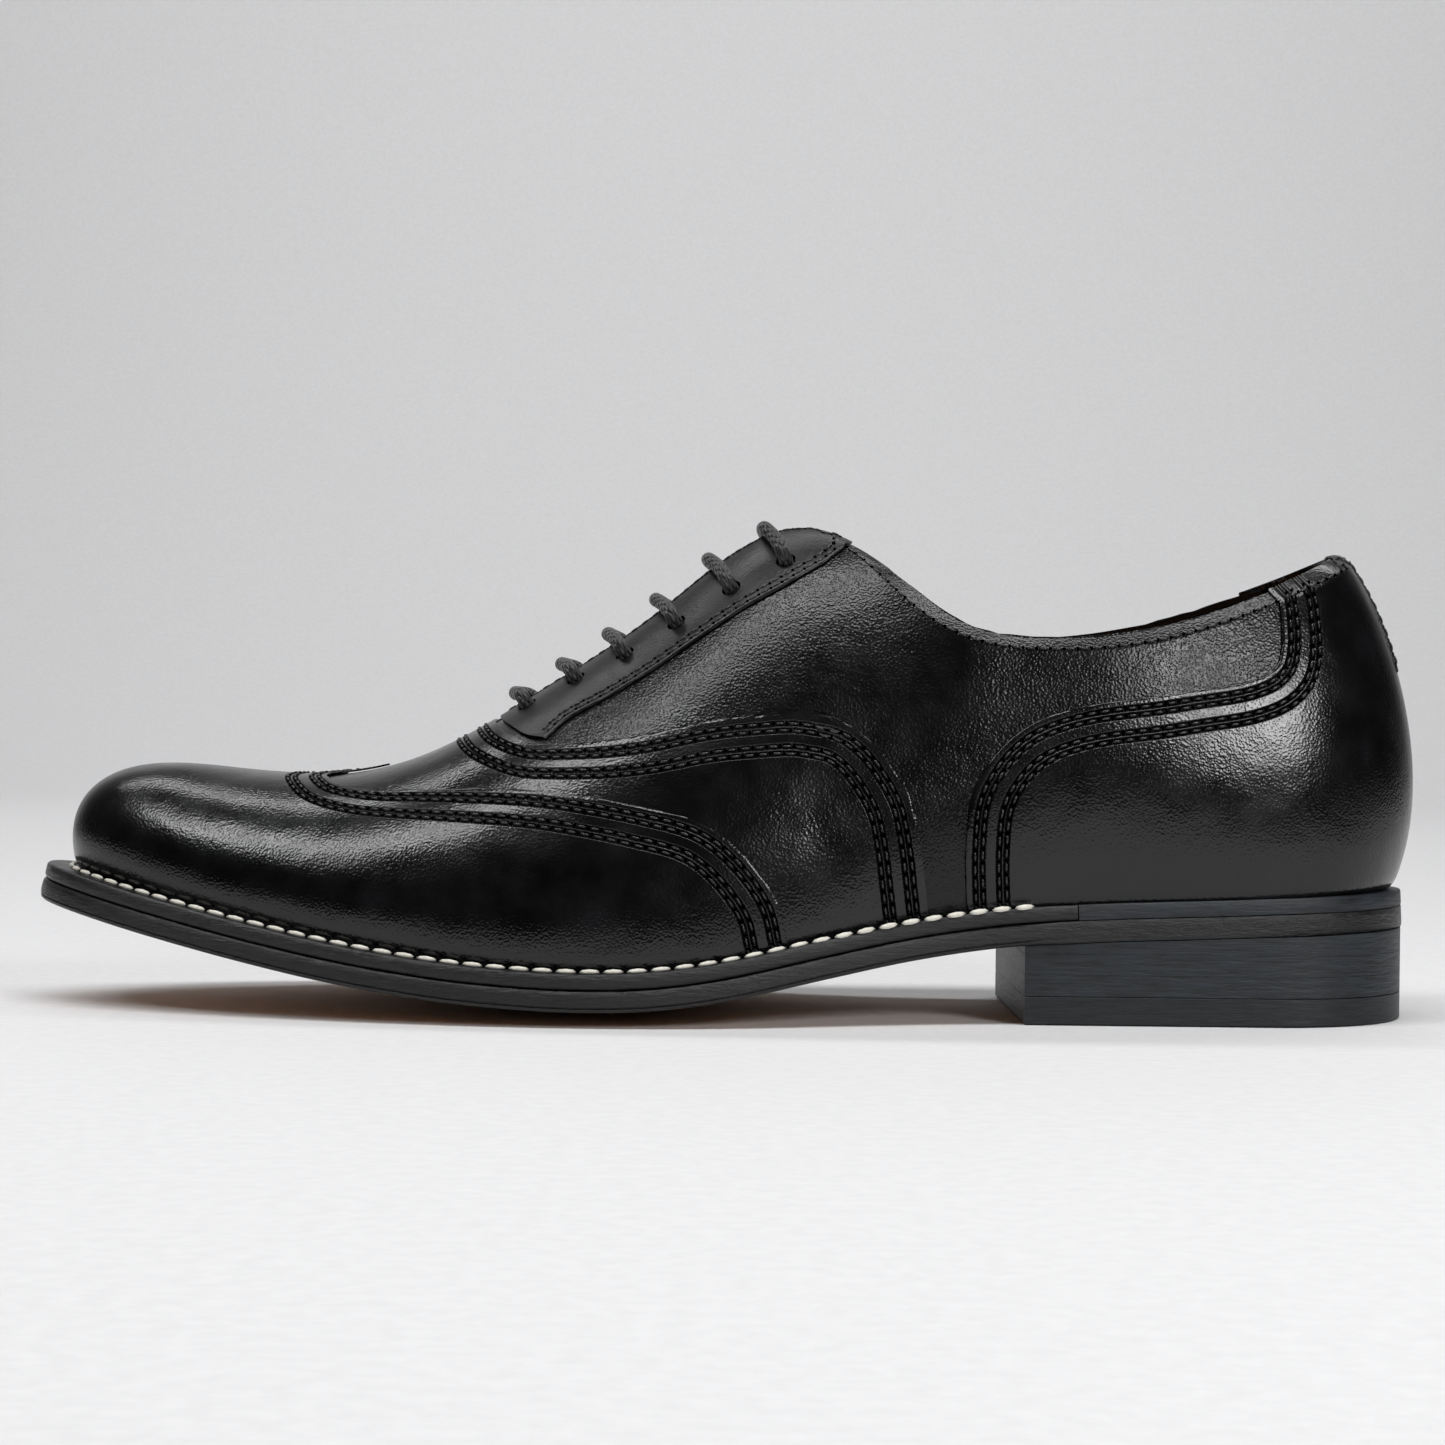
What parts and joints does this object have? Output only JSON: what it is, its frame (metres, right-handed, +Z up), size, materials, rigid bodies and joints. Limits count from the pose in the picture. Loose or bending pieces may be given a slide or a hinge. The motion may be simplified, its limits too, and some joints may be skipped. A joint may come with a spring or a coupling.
{
  "type": "wingtip oxford shoe",
  "caption": "Black leather wingtip oxford dress shoe for the left foot, with a welted leather sole, a stacked heel and closed lacing over a hinged tongue.",
  "frame": {"origin": "on the floor, under the middle of the shoe's bounding box", "axes": "+X from the toe to the heel, +Y towards the inner side of the left foot, +Z up"},
  "size_m": [0.3055, 0.1046, 0.1074],
  "materials": {
    "calf_gloss": "glossy",
    "calf_grain": "satin",
    "sole_edge": "waxed",
    "heel_stack": "matte",
    "top_piece": "matte",
    "lining_tan": "matte",
    "insole_leather": "matte",
    "cork": "matte",
    "stiffener": "matte",
    "thread_white": "matte",
    "lace_black": "waxed",
    "steel": "brushed",
    "brass": "satin",
    "aglet": "glossy"
  },
  "bodies": {
    "shoe": {"outsole": "sole_edge", "welt": "sole_edge", "heel_rand": "sole_edge", "cork_filler": "cork", "shank": "steel", "insole": "insole_leather", "insole_rib": "stiffener", "sock_lining": "lining_tan", "heel_lift_1": "heel_stack", "heel_lift_2": "heel_stack", "heel_lift_3": "heel_stack", "top_piece": "top_piece", "heel_nails": "brass", "welt_stitching": "thread_white", "toe_cap": "calf_gloss", "vamp": "calf_gloss", "quarter_lateral": "calf_grain", "quarter_medial": "calf_grain", "counter_lateral": "calf_gloss", "counter_medial": "calf_gloss", "back_strap": "calf_grain", "facing_lateral": "calf_grain", "facing_medial": "calf_grain", "vamp_lining": "lining_tan", "quarter_lining_lateral": "lining_tan", "quarter_lining_medial": "lining_tan", "heel_grip": "lining_tan", "toe_puff": "stiffener", "counter_stiffener": "stiffener", "eyelets_lateral": "steel", "eyelets_medial": "steel", "lace": "lace_black", "lace_tail_long": "lace_black", "lace_tail_short": "lace_black", "aglet_long": "aglet", "aglet_short": "aglet"},
    "tongue": {"tongue": "calf_grain", "tongue_lining": "lining_tan"}
  },
  "joints": [
    {"name": "tongue_hinge", "type": "hinge", "parent": "shoe", "child": "tongue", "pos_m": [-0.0532, 0, 0.0532], "axis": [0, 1, 0], "range_deg": [0, 12]}
  ]
}
